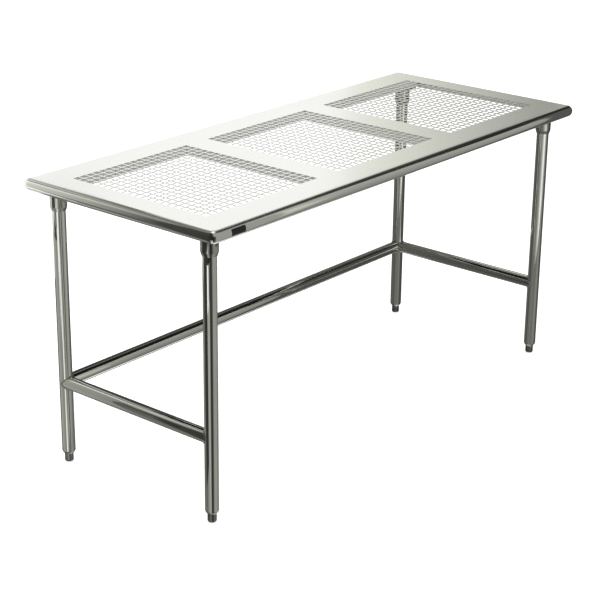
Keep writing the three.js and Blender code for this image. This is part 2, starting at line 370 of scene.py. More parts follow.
def level_rectangle(low, high, height):
    """The corners of a level rectangle between two corners in plan."""
    return [(*low, height), (high[0], low[1], height), (*high, height), (low[0], high[1], height)]


def laid(axis, along, across, up):
    """A point of a piece that lies along X or along Y."""
    return (along, across, up) if axis == "x" else (across, along, up)


# Node helpers

def new_tree(name, kind, inputs, outputs):
    """A node group with named inputs and outputs, what it is given and its end node."""
    tree = bpy.data.node_groups.new(name, kind)
    for direction, sockets in (("INPUT", inputs), ("OUTPUT", outputs)):
        for label, socket in sockets.items():
            tree.interface.new_socket(
                name=label, in_out=direction, socket_type=f"NodeSocket{socket}"
            )
    return tree, tree.nodes.new("NodeGroupInput").outputs, tree.nodes.new("NodeGroupOutput")


def feed(tree, socket, value):
    """Gives an input a plain value, an output, or the first output of a node."""
    if isinstance(value, bpy.types.Node):
        value = value.outputs[0]
    if isinstance(value, bpy.types.NodeSocket):
        tree.links.new(value, socket)
    else:
        socket.default_value = value


def add_node(tree, kind, inputs=(), **settings):
    """A node with its settings and what its inputs are fed, by name or number."""
    node = tree.nodes.new(kind)
    for label, value in settings.items():
        setattr(node, label, value)
    for label, value in dict(inputs).items():
        feed(tree, node.inputs[label], value)
    return node


def add_math(tree, operation, *values):
    """A math node on numbers or outputs."""
    return add_node(tree, "ShaderNodeMath", enumerate(values), operation=operation).outputs[0]


def run_tree(piece, tree, values):
    """Runs a geometry node tree on a piece and returns the plain mesh that it makes."""
    modifier = piece.modifiers.new(tree.name, "NODES")
    modifier.node_group = tree
    for item in tree.interface.items_tree:
        if item.in_out == "INPUT" and item.name in values:
            modifier[item.identifier] = values[item.name]
    bpy.context.view_layer.update()
    depsgraph = bpy.context.evaluated_depsgraph_get()
    made = bpy.data.meshes.new_from_object(piece.evaluated_get(depsgraph))
    old = piece.data
    bpy.data.objects.remove(piece)
    bpy.data.meshes.remove(old)
    return made


# Geometry node trees

def geometry_tree(name, inputs):
    """A tree that changes geometry and gives it a material."""
    return new_tree(
        name, "GeometryNodeTree", {"Geometry": "Geometry", **inputs, "Material": "Material"},
        {"Geometry": "Geometry"},
    )


def realized(tree, geometry):
    return add_node(tree, "GeometryNodeRealizeInstances", {"Geometry": geometry})


def joined_with(tree, given, extra):
    """The given geometry together with what the tree adds."""
    both = add_node(tree, "GeometryNodeJoinGeometry", {"Geometry": given["Geometry"]})
    feed(tree, both.inputs[0], extra)
    return realized(tree, both)


def paint(tree, given, geometry, end):
    """Sets the given material and hands the geometry out."""
    painted = add_node(
        tree, "GeometryNodeSetMaterial", {"Geometry": geometry, "Material": given["Material"]}
    )
    feed(tree, end.inputs["Geometry"], painted)


def instances(tree, points, instance):
    return add_node(
        tree, "GeometryNodeInstanceOnPoints", {"Points": points, "Instance": instance}
    )


def perforation_tree():
    """Repeats one tile with its hole over every field and joins it to the solid strips."""
    tree, given, end = geometry_tree(
        "Perforated fields",
        {"Tile": "Object", "Pitch": "Float", "Holes along": "Int", "Holes across": "Int",
         "Fields": "Int", "Field spacing": "Float", "Join distance": "Float"},
    )
    along = add_math(tree, "SUBTRACT", given["Holes along"], 1)
    across = add_math(tree, "SUBTRACT", given["Holes across"], 1)
    grid = add_node(
        tree, "GeometryNodeMeshGrid",
        {"Size X": add_math(tree, "MULTIPLY", along, given["Pitch"]),
         "Size Y": add_math(tree, "MULTIPLY", across, given["Pitch"]),
         "Vertices X": given["Holes along"], "Vertices Y": given["Holes across"]},
    )
    half = add_math(tree, "MULTIPLY", add_math(tree, "SUBTRACT", given["Fields"], 1), -0.5)
    first = add_math(tree, "MULTIPLY", half, given["Field spacing"])
    line = add_node(
        tree, "GeometryNodeMeshLine",
        {"Count": given["Fields"],
         "Start Location": add_node(tree, "ShaderNodeCombineXYZ", {"X": first}),
         "Offset": add_node(tree, "ShaderNodeCombineXYZ", {"X": given["Field spacing"]})},
    )
    spots = realized(tree, instances(tree, line, grid))
    tile = add_node(tree, "GeometryNodeObjectInfo", {"Object": given["Tile"]})
    holes = instances(tree, spots, tile.outputs["Geometry"])
    merged = add_node(
        tree, "GeometryNodeMergeByDistance",
        {"Geometry": joined_with(tree, given, holes), "Distance": given["Join distance"]},
    )
    paint(tree, given, merged, end)
    return tree


def bead_tree():
    """Runs a rippled weld bead along a closed line."""
    tree, given, end = geometry_tree(
        "Weld bead",
        {"Bead radius": "Float", "Ripple": "Float", "Ripple length": "Float", "Step": "Float",
         "Sides": "Int"},
    )
    curve = add_node(tree, "GeometryNodeMeshToCurve", {"Mesh": given["Geometry"]})
    even = add_node(
        tree, "GeometryNodeResampleCurve", {"Curve": curve, "Length": given["Step"]},
        mode="LENGTH",
    )
    along = add_node(tree, "GeometryNodeSplineParameter").outputs["Length"]
    turns = add_math(tree, "DIVIDE", along, given["Ripple length"])
    wave = add_math(tree, "SINE", add_math(tree, "MULTIPLY", turns, math.tau))
    swell = add_math(tree, "ADD", add_math(tree, "MULTIPLY", wave, given["Ripple"]), 1)
    sized = add_node(tree, "GeometryNodeSetCurveRadius", {"Curve": even, "Radius": swell})
    ring = add_node(
        tree, "GeometryNodeCurvePrimitiveCircle",
        {"Resolution": given["Sides"], "Radius": given["Bead radius"]},
    )
    skin = add_node(tree, "GeometryNodeCurveToMesh", {"Curve": sized, "Profile Curve": ring})
    if "Scale" in skin.inputs:
        feed(tree, skin.inputs["Scale"], swell)
    paint(tree, given, realized(tree, skin), end)
    return tree


def thread_tree():
    """Winds a ridge of square section round a plain core."""
    tree, given, end = geometry_tree(
        "Screw thread",
        {"Radius": "Float", "Turns": "Float", "Height": "Float", "Steps": "Int",
         "Ridge": "Float", "Start": "Vector"},
    )
    spiral = add_node(
        tree, "GeometryNodeCurveSpiral",
        {"Resolution": given["Steps"], "Rotations": given["Turns"],
         "Start Radius": given["Radius"], "End Radius": given["Radius"],
         "Height": given["Height"]},
    )
    upright = add_node(tree, "GeometryNodeSetCurveNormal", {"Curve": spiral}, mode="Z_UP")
    ridge = add_node(
        tree, "GeometryNodeCurvePrimitiveCircle", {"Radius": given["Ridge"], "Resolution": 4}
    )
    skin = add_node(
        tree, "GeometryNodeCurveToMesh",
        {"Curve": upright, "Profile Curve": ridge, "Fill Caps": True},
    )
    placed = add_node(
        tree, "GeometryNodeTransform", {"Geometry": skin, "Translation": given["Start"]}
    )
    paint(tree, given, joined_with(tree, given, placed), end)
    return tree


# Finishes

FACE_ROUGHNESS = "face_roughness"
FACE_PAINTED_SHADE = "face_tone"
POLISH_SPREAD = 0.12
# Roughness up to which steel is polished, and from which it is matt
POLISHED = 0.3
MATT = 0.5

# The colour is the name of a setting. The roughness is a number, the name of a setting or,
# where it is None, each face's own. The stretch is how fast the grain changes along each
# axis, marks are the size of handling marks, dent is how strongly the grain shows as a bump,
# and dark is the share of the colour that the darkest streaks keep.
Steel = namedtuple("Steel", "colour roughness stretch marks contrast dent dark metallic")
TUBE = Steel("tube", "tube_roughness", (420, 420, 14), 0.12, 0.7, 0.006, 0.92, 1.0)
FOLDED = Steel("channel", 0.42, (12, 700, 700), 0.2, 0.8, 0.03, 0.9, 0.3)
STEELS = {
    "brushed_top": Steel("top", None, (9, 900, 900), 0.3, 0.5, 0.006, 0.96, 0.3),
    "folded_steel_along": FOLDED,
    "folded_steel_across": FOLDED._replace(stretch=(700, 12, 700)),
    "polished_leg": TUBE,
    "polished_left_rail": TUBE._replace(stretch=(420, 14, 420)),
    "polished_right_rail": TUBE._replace(stretch=(420, 14, 420)),
    "polished_back_rail": TUBE._replace(stretch=(14, 420, 420)),
    "weld_steel": Steel("weld", 0.34, (300, 300, 300), 0.01, 1.0, 0.15, 0.8, 1.0),
    "satin_socket": Steel("socket", 0.14, (160, 160, 60), 0.05, 0.8, 0.02, 0.88, 1.0),
    "blackened_screw": Steel("screw", 0.38, (300, 300, 300), 0.01, 1.0, 0.1, 0.8, 0.6),
    "turned_insert": Steel("insert", 0.24, (90, 90, 900), 0.03, 0.9, 0.08, 0.88, 1.0),
    "threaded_stud": Steel("stud", 0.26, (200, 200, 200), 0.02, 0.8, 0.05, 0.88, 1.0),
    "turned_bullet": Steel("foot", 0.2, (90, 90, 900), 0.02, 0.9, 0.1, 0.86, 1.0),
    "dark_plate": Steel("plate", 0.35, (300, 300, 300), 0.02, 0.6, 0.02, 0.85, 0.0),
}


def set_face_finish(mesh, roughness, tone):
    """Gives each face of a mesh its own roughness and tone, for the material to read; a tone under
    1 is painted shade.
    """
    for name, values in ((FACE_ROUGHNESS, roughness), (FACE_PAINTED_SHADE, tone)):
        mesh.attributes.new(name, "FLOAT", "FACE").data.foreach_set("value", values)


def node_material(name):
    """A material and its tree, which is still empty."""
    material = bpy.data.materials.new(name)
    material.use_nodes = True
    material.node_tree.nodes.clear()
    return material, material.node_tree


def weighed(tree, first, first_share, second, second_share):
    """The sum of two outputs, each by its share."""
    return add_math(
        tree, "ADD", add_math(tree, "MULTIPLY", first, first_share),
        add_math(tree, "MULTIPLY", second, second_share),
    )


def grain_group(name):
    """Fine brushing: streaks along one axis, as a mask and a height."""
    tree, given, end = new_tree(
        name, "ShaderNodeTree",
        {"Vector": "Vector", "Stretch": "Vector", "Contrast": "Float"},
        {"Grain": "Float", "Height": "Float"},
    )
    scaled = add_node(
        tree, "ShaderNodeVectorMath", {0: given["Vector"], 1: given["Stretch"]},
        operation="MULTIPLY",
    )
    fine, coarse = (
        add_node(
            tree, "ShaderNodeTexNoise",
            {"Vector": scaled, "Scale": scale, "Detail": detail, "Roughness": roughness},
        ).outputs["Fac"]
        for scale, detail, roughness in ((1.0, 3.0, 0.62), (0.22, 2.0, 0.5))
    )
    centred = add_math(tree, "SUBTRACT", weighed(tree, fine, 0.65, coarse, 0.35), 0.5)
    grain = add_math(tree, "MULTIPLY", centred, given["Contrast"])
    feed(tree, end.inputs["Grain"], add_math(tree, "ADD", grain, 0.5))
    feed(tree, end.inputs["Height"], fine)
    return tree


def handling_group(name):
    """Slow changes of tone, as handling and cleaning leave them."""
    tree, given, end = new_tree(
        name, "ShaderNodeTree", {"Vector": "Vector", "Size": "Float"}, {"Mask": "Float"}
    )
    scale = add_math(tree, "DIVIDE", 1.0, given["Size"])
    cloud = add_node(
        tree, "ShaderNodeTexNoise",
        {"Vector": given["Vector"], "Scale": scale, "Detail": 4.0, "Roughness": 0.55,
         "Distortion": 0.3},
    )
    spread = add_node(
        tree, "ShaderNodeMapRange",
        {"Value": cloud.outputs["Fac"], "From Min": 0.3, "From Max": 0.7},
    )
    feed(tree, end.inputs["Mask"], spread)
    return tree


def add_effect(tree, name, build, inputs):
    """A node of a shared group, which is built when the first material asks for it."""
    group = bpy.data.node_groups.get(name) or build(name)
    return add_node(tree, "ShaderNodeGroup", inputs, node_tree=group)


def steel_material(name):
    """Steel with grain, handling marks and a low bump.

    Without a roughness, each face's own comes from the mesh with its tone, which darkens the colour
    as painted shade on the hole walls, and rough faces turn matt.
    """
    finish = bpy.context.scene.table_finish
    steel = STEELS[name]
    material, tree = node_material(name)
    where = add_node(tree, "ShaderNodeTexCoord").outputs["Object"]
    grain = add_effect(
        tree, "Brushed grain", grain_group,
        {"Vector": where, "Stretch": steel.stretch, "Contrast": steel.contrast},
    )
    marks = add_effect(tree, "Handling", handling_group, {"Vector": where, "Size": steel.marks})
    tone = weighed(tree, grain.outputs["Grain"], 0.6, marks.outputs["Mask"], 0.4)
    mix = add_node(tree, "ShaderNodeMix", {0: tone}, data_type="RGBA")
    low_in, high_in = (socket for socket in mix.inputs if socket.type == "RGBA")
    base = getattr(finish, steel.colour)
    low_in.default_value = (*(steel.dark * value for value in base), 1)
    high_in.default_value = (*(min(1.0, value * (2 - steel.dark)) for value in base), 1)
    colour = next(socket for socket in mix.outputs if socket.type == "RGBA")
    roughness, metallic = steel.roughness, steel.metallic
    if isinstance(roughness, str):
        roughness = getattr(finish, roughness)
    elif roughness is None:
        roughness, shade = (
            add_node(tree, "ShaderNodeAttribute", attribute_name=attribute).outputs["Fac"]
            for attribute in (FACE_ROUGHNESS, FACE_PAINTED_SHADE)
        )
        # The face tone scales the colour down: painted shade on the hole walls
        colour = add_node(
            tree, "ShaderNodeVectorMath", {0: colour, "Scale": shade}, operation="SCALE"
        )
        metallic = add_node(
            tree, "ShaderNodeMapRange",
            {"Value": roughness, "From Min": POLISHED, "From Max": MATT, "To Min": 1.0,
             "To Max": metallic},
        )
    change = add_node(
        tree, "ShaderNodeMapRange",
        {"Value": tone, "To Min": 1 - POLISH_SPREAD, "To Max": 1 + POLISH_SPREAD},
    )
    bump = add_node(
        tree, "ShaderNodeBump",
        {"Height": grain.outputs["Height"], "Strength": steel.dent, "Distance": 0.4 * MM},
    )
    shader = add_node(
        tree, "ShaderNodeBsdfPrincipled",
        {"Base Color": colour, "Normal": bump, "Metallic": metallic,
         "Roughness": add_math(tree, "MULTIPLY", roughness, change.outputs["Result"])},
    )
    surface = add_node(tree, "ShaderNodeOutputMaterial", {"Surface": shader})
    surface.is_active_output = True
    return material


# Top

def side_breaks(settings):
    """Where the rows and columns of the top's flat strips meet, along X and along Y."""
    half_x = settings.length / 2 - settings.border
    half_y = settings.depth / 2 - settings.border
    pitch = settings.hole_pitch
    along = [-half_x]
    for field in range(settings.fields):
        middle = (field - (settings.fields - 1) / 2) * settings.field_spacing
        along += [
            middle + (column - settings.holes_along / 2) * pitch
            for column in range(settings.holes_along + 1)
        ]
    across = [(row - settings.holes_across / 2) * pitch for row in range(settings.holes_across + 1)]
    return [*along, half_x], [-half_y, *across, half_y]


def top_ring(settings, inset, height, along, across):
    """One turn round the top, through the same places on each side at every level."""
    radius = 0 if inset == settings.border else max(settings.corner_radius - inset, MM)
    half_x, half_y = settings.length / 2 - inset, settings.depth / 2 - inset
    sides = [
        [(half_x, y) for y in across],
        [(x, half_y) for x in reversed(along)],
        [(-half_x, y) for y in reversed(across)],
        [(x, -half_y) for x in along],
    ]
    ring = []
    for quarter, side in enumerate(sides):
        ring += side
        sign_x = 1 if quarter in (0, 3) else -1
        sign_y = 1 if quarter in (0, 1) else -1
        for step in range(CORNER_STEPS + 1):
            angle = (quarter + step / CORNER_STEPS) * QUARTER
            ring.append(
                (sign_x * (half_x - radius) + radius * math.cos(angle),
                 sign_y * (half_y - radius) + radius * math.sin(angle))
            )
    return [(x, y, height) for x, y in ring]


def edge_profile(settings):
    """The rolled edge as (inset, height) pairs, from the flat top round and back inside."""
    radius, sheet = settings.edge_radius, settings.sheet
    middle = settings.height - radius
    under = settings.height - 2 * radius
    inside = radius + settings.edge_lip

    def arc(size, begin, finish):
        angles = [begin + (finish - begin) * step / EDGE_STEPS for step in range(EDGE_STEPS + 1)]
        return [
            (radius - size * math.cos(angle), middle + size * math.sin(angle))
            for angle in angles
        ]

    tip = sheet / 4
    return [
        *arc(radius, QUARTER, -QUARTER),
        (inside - tip, under), (inside, under + tip),
        (inside, under + sheet - tip), (inside - tip, under + sheet),
        *arc(radius - sheet, -QUARTER, QUARTER),
    ]


def top_blank(settings, finish):
    """The rolled edge and the solid strips, with square openings where the fields go."""
    along, across = side_breaks(settings)
    low = settings.height - settings.sheet
    levels = [(settings.border, settings.height), *edge_profile(settings), (settings.border, low)]
    rings = [top_ring(settings, inset, height, along, across) for inset, height in levels]
    count = len(rings[0])
    points = [point for ring in rings for point in ring]
    faces = quads(len(rings), count)
    polish = [finish.top_roughness] * count + [finish.edge_roughness] * (EDGE_STEPS * count)
    polish += [finish.raw_roughness] * (len(faces) - len(polish))
    span = settings.holes_along + 1
    for height, turn in ((settings.height, False), (low, True)):
        for column in range(len(along) - 1):
            in_field = column % span and 0 < column
            for row in range(len(across) - 1):
                if in_field and 0 < row < len(across) - 2:
                    continue
                face = tuple(range(len(points), len(points) + 4))
                points += level_rectangle(
                    (along[column], across[row]), (along[column + 1], across[row + 1]), height
                )
                faces.append(face[::-1] if turn else face)
                polish.append(finish.raw_roughness if turn else finish.top_roughness)
    mesh = bpy.data.meshes.new("top_blank")
    mesh.from_pydata(points, [], faces)
    set_face_finish(mesh, polish, [1.0] * len(polish))
    return mesh


def hole_tile(settings, finish):
    """One square of the sheet with its hole: top, underside and the hole's walls."""
    half = settings.hole_pitch / 2
    hole = settings.hole_width / 2
    corners = [(half, -half), (half, half), (-half, half), (-half, -half)]
    outline = round_rectangle(hole, hole, settings.hole_corner, HOLE_STEPS)
    heights = (settings.height, settings.height - settings.sheet)
    points = [(x, y, z) for z in heights for x, y in corners]
    outer_count = len(points)
    points += [(x, y, z) for z in heights for x, y in outline]
    ring = len(outline)
    per_corner = HOLE_STEPS + 1
    faces = []
    for level in (0, 1):
        outer, inner = level * 4, outer_count + level * ring
        for corner in range(4):
            begin = inner + corner * per_corner
            following = (corner + 1) % 4
            made = [
                (outer + corner, begin + step + 1, begin + step) for step in range(HOLE_STEPS)
            ]
            made.append(
                (outer + corner, outer + following, inner + following * per_corner,
                 begin + HOLE_STEPS)
            )
            faces += [face[::-1] for face in made] if level else made
    faces += [tuple(outer_count + point for point in face) for face in quads(2, ring)]
    mesh = bpy.data.meshes.new("hole_tile")
    mesh.from_pydata(points, [], faces)
    above = 4 * per_corner
    # The hole walls take the hole wall tone, which darkens their colour as painted shade
    set_face_finish(
        mesh, [finish.top_roughness] * above + [finish.raw_roughness] * (len(faces) - above),
        [1.0] * 2 * above + [finish.hole_wall_painted_shade] * (len(faces) - 2 * above),
    )
    return mesh


class TABLE_OT_top(bpy.types.Operator):
    """Makes the perforated top with its rolled edge"""

    bl_idname = "cleanroom_table.make_top"
    bl_label = "Top"

    def execute(self, context):
        settings = context.scene.table_top
        finish = context.scene.table_finish
        material = steel_material("brushed_top")
        blank = linked("top_blank", top_blank(settings, finish))
        tile = linked("hole_tile", hole_tile(settings, finish))
        mesh = run_tree(
            blank, perforation_tree(),
            {"Tile": tile, "Pitch": settings.hole_pitch, "Holes along": settings.holes_along,
             "Holes across": settings.holes_across, "Fields": settings.fields,
             "Field spacing": settings.field_spacing, "Join distance": 0.02 * MM,
             "Material": material},
        )
        bpy.data.objects.remove(tile)
        work = bmesh.new()
        work.from_mesh(mesh)
        bmesh.ops.dissolve_degenerate(work, edges=work.edges, dist=0.002 * MM)
        bmesh.ops.recalc_face_normals(work, faces=work.faces)
        work.to_mesh(mesh)
        work.free()
        finish_piece("perforated_top", mesh, BODY, material, ["top_sheet"])
        return {"FINISHED"}


class TABLE_OT_plate(bpy.types.Operator):
    """Makes the blank plate on the front edge"""

    bl_idname = "cleanroom_table.make_plate"
    bl_label = "Blank plate"

    def execute(self, context):
        settings = context.scene.table_top
        middle = settings.height - settings.edge_radius
        front = -settings.depth / 2 + settings.edge_radius
        half = settings.plate_length / 2
        reach = settings.plate_reach / 2
        corner, skin, root = settings.plate_corner, settings.plate_skin, settings.sheet / 2
        shares = [
            (reach - corner * (1 - math.cos(step / PLATE_CORNER_STEPS * QUARTER))) / reach
            for step in range(PLATE_CORNER_STEPS + 1)
        ]
        between = [
            shares[-1] * (2 * step / PLATE_STEPS - 1) for step in range(1, PLATE_STEPS)
        ]
        rings = []
        for share in [*(-share for share in shares), *between, *reversed(shares)]:
            past = max(abs(share) * reach - (reach - corner), 0)
            wide = half - corner + math.sqrt(max(corner**2 - past**2, 0))
            angle = settings.plate_angle + share * reach / settings.edge_radius
            ring = []
            for side, proud in ((-1, skin), (1, skin), (1, -root), (-1, -root)):
                radius = settings.edge_radius + proud
                ring.append(
                    (settings.plate_place + side * wide, front - radius * math.sin(angle),
                     middle + radius * math.cos(angle))
                )
            rings.append(ring)
        mesh = lofted("blank_plate", rings)
        finish_piece("blank_plate", mesh, BODY, steel_material("dark_plate"))
        return {"FINISHED"}


# Channels and frame

def channel_mesh(name, low, high, settings, axis):
    """A folded channel, open at the top between its lips, inside the box of its solid."""
    wall, bend = settings.wall, settings.bend
    along, across = (0, 1) if axis == "x" else (1, 0)
    half = (high[across] - low[across]) / 2
    middle = (low[across] + high[across]) / 2
    tall = high.z - low.z
    inner = max(bend - wall, wall / 4)
    edge = wall / 5
    side = [
        (half, 0, bend), (half, tall, bend), (half - settings.lip, tall, edge),
        (half - settings.lip, tall - wall, edge), (half - wall, tall - wall, inner),
        (half - wall, wall, inner),
    ]
    outline = rounded(side + [(-x, y, radius) for x, y, radius in reversed(side)], FOLD_STEPS)
    rings = [
        [laid(axis, place, middle + x, low.z + y) for x, y in outline]
        for place in (low[along], high[along])
    ]
    return lofted(name, rings)


class TABLE_OT_channels(bpy.types.Operator):
    """Makes the four channels under the solid strips of the top"""

    bl_idname = "cleanroom_table.make_channels"
    bl_label = "Channels"

    def execute(self, context):
        for axis, way, names in (
            ("x", "along", ("front_channel", "back_channel")),
            ("y", "across", ("left_cross_channel", "right_cross_channel")),
        ):
            material = steel_material(f"folded_steel_{way}")
            for name in names:
                mesh = channel_mesh(name, *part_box(name), context.scene.table_channels, axis)
                finish_piece(f"folded_{name}", mesh, BODY, material, [name])
        return {"FINISHED"}


def tube_radii(settings):
    """Outside and inside radius of the tube."""
    return settings.tube / 2, settings.tube / 2 - settings.wall


class TABLE_OT_legs(bpy.types.Operator):
    """Makes the four tube legs"""

    bl_idname = "cleanroom_table.make_legs"
    bl_label = "Legs"

    def execute(self, context):
        settings = context.scene.table_frame
        outer, inner = tube_radii(settings)
        edge = settings.wall / 4

        def build(name, low, high, centre):
            corners = [
                (inner, low.z, edge), (outer, low.z, edge), (outer, high.z, edge),
                (inner, high.z, edge),
            ]
            return turned(name, corners, TUBE_SIDES, centre, TUBE_EDGE_STEPS)

        material = steel_material("polished_leg")
        finish_corners("polished_leg", "leg", material, build)
        return {"FINISHED"}


def on_rail(axis, centre, radius, angle, distance):
    """A point on a round rail, at a distance from its middle."""
    place = laid(axis, distance, radius * math.cos(angle), radius * math.sin(angle))
    return tuple(middle + part for middle, part in zip(centre, place))


def rail_mesh(name, settings, axis, centre, half, inward):
    """A rail shaped at both ends to the legs, and to the back rail on its inward side."""
    reach = settings.tube / 2 + settings.gap

    def stand_off(radius, angle, far):
        across, up = radius * math.cos(angle), radius * math.sin(angle)
        away = math.sqrt(max(reach**2 - across**2, 0))
        if inward and far and across * inward > 0:
            away = max(away, math.sqrt(max(reach**2 - up**2, 0)))
        return away

    outer, inner = tube_radii(settings)
    shares = [level / (RAIL_LEVELS - 1) for level in range(RAIL_LEVELS)]
    rings = []
    for radius, order in ((outer, shares), (inner, reversed(shares))):
        for share in order:
            ring = []
            for angle in round_angles(TUBE_SIDES):
                begin = -half + stand_off(radius, angle, False)
                end = half - stand_off(radius, angle, True)
                ring.append(on_rail(axis, centre, radius, angle, begin + (end - begin) * share))
            rings.append(ring)
    return lofted(name, rings, around=True)


def bead_line(settings, axis, centre, half, side, inward):
    """The closed line of points along which a rail is welded to its leg."""
    seat = settings.tube / 2 + settings.bead / 4
    soft = 0.12
    points = []
    for angle in round_angles(BEAD_POINTS):
        away = seat * math.sqrt(math.sin(angle) ** 2 + soft**2)
        if inward and side > 0 and seat * math.cos(angle) * inward > 0:
            away = max(away, seat * math.sqrt(math.cos(angle) ** 2 + soft**2))
        points.append(on_rail(axis, centre, seat, angle, side * (half - away)))
    line = bpy.data.meshes.new("weld_line")
    edges = [(point, (point + 1) % BEAD_POINTS) for point in range(BEAD_POINTS)]
    line.from_pydata(points, edges, [])
    return line


class TABLE_OT_rails(bpy.types.Operator):
    """Makes the three lower rails and their weld beads"""

    bl_idname = "cleanroom_table.make_rails"
    bl_label = "Rails"

    def execute(self, context):
        settings = context.scene.table_frame
        leg_x, leg_y = corner_place("back_right")
        height = (RAIL_LOW.z + RAIL_HIGH.z) / 2
        weld = steel_material("weld_steel")
        tree = bead_tree()
        rails = [
            ("left_rail", "y", (-leg_x, 0, height), leg_y, 1),
            ("right_rail", "y", (leg_x, 0, height), leg_y, -1),
            ("back_rail", "x", (0, leg_y, height), leg_x, 0),
        ]
        for name, axis, centre, half, inward in rails:
            mesh = rail_mesh(name, settings, axis, centre, half, inward)
            material = steel_material(f"polished_{name}")
            finish_piece(f"polished_{name}", mesh, BODY, material, [name])
            for side, end in ((-1, "near"), (1, "far")):
                line = bead_line(settings, axis, centre, half, side, inward)
                mesh = run_tree(
                    linked("weld_line", line), tree,
                    {"Bead radius": settings.bead, "Ripple": settings.ripple,
                     "Ripple length": settings.ripple_length, "Step": settings.ripple_length / 4,
                     "Sides": BEAD_SIDES, "Material": weld},
                )
                finish_piece(f"weld_{name}_{end}", mesh, BODY, weld)
        return {"FINISHED"}


# Sockets and screws

class TABLE_OT_sockets(bpy.types.Operator):
    """Makes the leg sockets: a collar with a taper, welded under a plate"""

    bl_idname = "cleanroom_table.make_sockets"
    bl_label = "Sockets"

    def execute(self, context):
        settings = context.scene.table_sockets
        tube = context.scene.table_frame
        inner = tube.tube / 2 + tube.gap
        outer = inner + settings.collar_wall

        def build(name, low, high, centre):
            under = high.z - settings.flange
            wide = outer + settings.weld
            corners = [
                (inner, low.z, 0.3 * MM), (inner + settings.rim, low.z, SOFT),
                (outer, low.z + settings.bevel_height, 4 * MM), (outer, under, settings.weld),
                (wide, under, 0), (wide, under + SOFT, 0), (inner, under + SOFT, 0),
            ]
            collar = turned("collar", corners, TUBE_SIDES, centre)
            half_x, half_y = (high.x - low.x) / 2, (high.y - low.y) / 2
            rings = []
            for level, inset in (
                (under, SOFT), (under + SOFT, 0), (high.z - SOFT, 0), (high.z, SOFT)
            ):
                outline = round_rectangle(
                    half_x - inset, half_y - inset, settings.flange_corner - inset,
                    FLANGE_STEPS,
                )
                rings.append([(centre[0] + x, centre[1] + y, level) for x, y in outline])
            return joined(name, [collar, lofted("plate", rings)])

        material = steel_material("satin_socket")
        finish_corners("satin_socket", "leg_socket", material, build)
        return {"FINISHED"}


class TABLE_OT_screws(bpy.types.Operator):
    """Makes the set screws in the fronts of the sockets, each with a six-sided hole"""

    bl_idname = "cleanroom_table.make_screws"
    bl_label = "Set screws"

    def execute(self, context):
        settings = context.scene.table_sockets
        angles = round_angles(SCREW_SIDES)

        def circle(radius):
            return [radius] * SCREW_SIDES

        def hexagon(scale):
            sixth = math.pi / 3
            return [
                scale * settings.key / 2 / math.cos(angle % sixth - sixth / 2)
                for angle in angles
            ]

        def build(name, low, high, centre):
            length = high.y - low.y
            radius = (high.z - low.z) / 2
            chamfer = radius / 6
            height = (low.z + high.z) / 2
            rings = [
                [(centre[0] + size * math.cos(angle), low.y + depth,
                  height + size * math.sin(angle))
                 for size, angle in zip(sizes, angles)]
                for sizes, depth in (
                    (hexagon(1), settings.key_depth), (hexagon(1), KEEN), (hexagon(1.08), 0),
                    (circle(radius - chamfer), 0), (circle(radius), chamfer),
                    (circle(radius), length - chamfer), (circle(radius - chamfer), length),
                )
            ]
            return lofted(name, rings)

        material = steel_material("blackened_screw")
        finish_corners("socket_screw", "set_screw", material, build)
        return {"FINISHED"}


# Levelling feet

def stud_bore(settings):
    """Radius of the holes that the stud runs in."""
    return (STUD_HIGH.x - STUD_LOW.x) / 2 + settings.clearance


class TABLE_OT_inserts(bpy.types.Operator):
    """Makes the threaded inserts in the ends of the legs"""

    bl_idname = "cleanroom_table.make_inserts"
    bl_label = "Leg inserts"

    def execute(self, context):
        settings = context.scene.table_feet
        tube = context.scene.table_frame
        outer, inner = tube_radii(tube)
        bore = stud_bore(settings)
        plug = inner - tube.gap

        def build(name, low, high, centre):
            ledge = low.z + settings.shoulder
            corners = [
                (bore, low.z, FINE), (settings.tip / 2, low.z, BLUNT),
                (outer - 1.2 * MM, ledge - 3.4 * MM, 4 * MM), (outer - KEEN, ledge, SOFT),
                (plug, ledge, KEEN), (plug, high.z, 1.5 * MM), (bore, high.z, FINE),
            ]
            return turned(name, corners, TURNED_SIDES, centre)

        material = steel_material("turned_insert")
        finish_corners("turned_insert", "foot_insert", material, build)
        return {"FINISHED"}


class TABLE_OT_studs(bpy.types.Operator):
    """Makes the threaded studs of the levelling feet"""

    bl_idname = "cleanroom_table.make_studs"
    bl_label = "Studs"

    def execute(self, context):
        settings = context.scene.table_feet
        material = steel_material("threaded_stud")
        tree = thread_tree()
        outer = (STUD_HIGH.x - STUD_LOW.x) / 2
        core = outer - settings.thread_depth
        ridge = settings.thread_pitch / 2

        def build(name, low, high, centre):
            corners = [
                (0, low.z, 0), (core, low.z, FINE), (core, high.z, BLUNT), (0, high.z, 0)
            ]
            height = high.z - low.z - 2 * ridge
            return run_tree(
                linked("core", turned(name, corners, STUD_SIDES, centre, closed=False)), tree,
                {"Radius": outer - ridge, "Turns": height / settings.thread_pitch,
                 "Height": height, "Steps": THREAD_STEPS, "Ridge": ridge,
                 "Start": (*centre, low.z + ridge), "Material": material},
            )

        finish_corners(
            "threaded_stud", "foot_stud", material, build, moves=True
        )
        return {"FINISHED"}


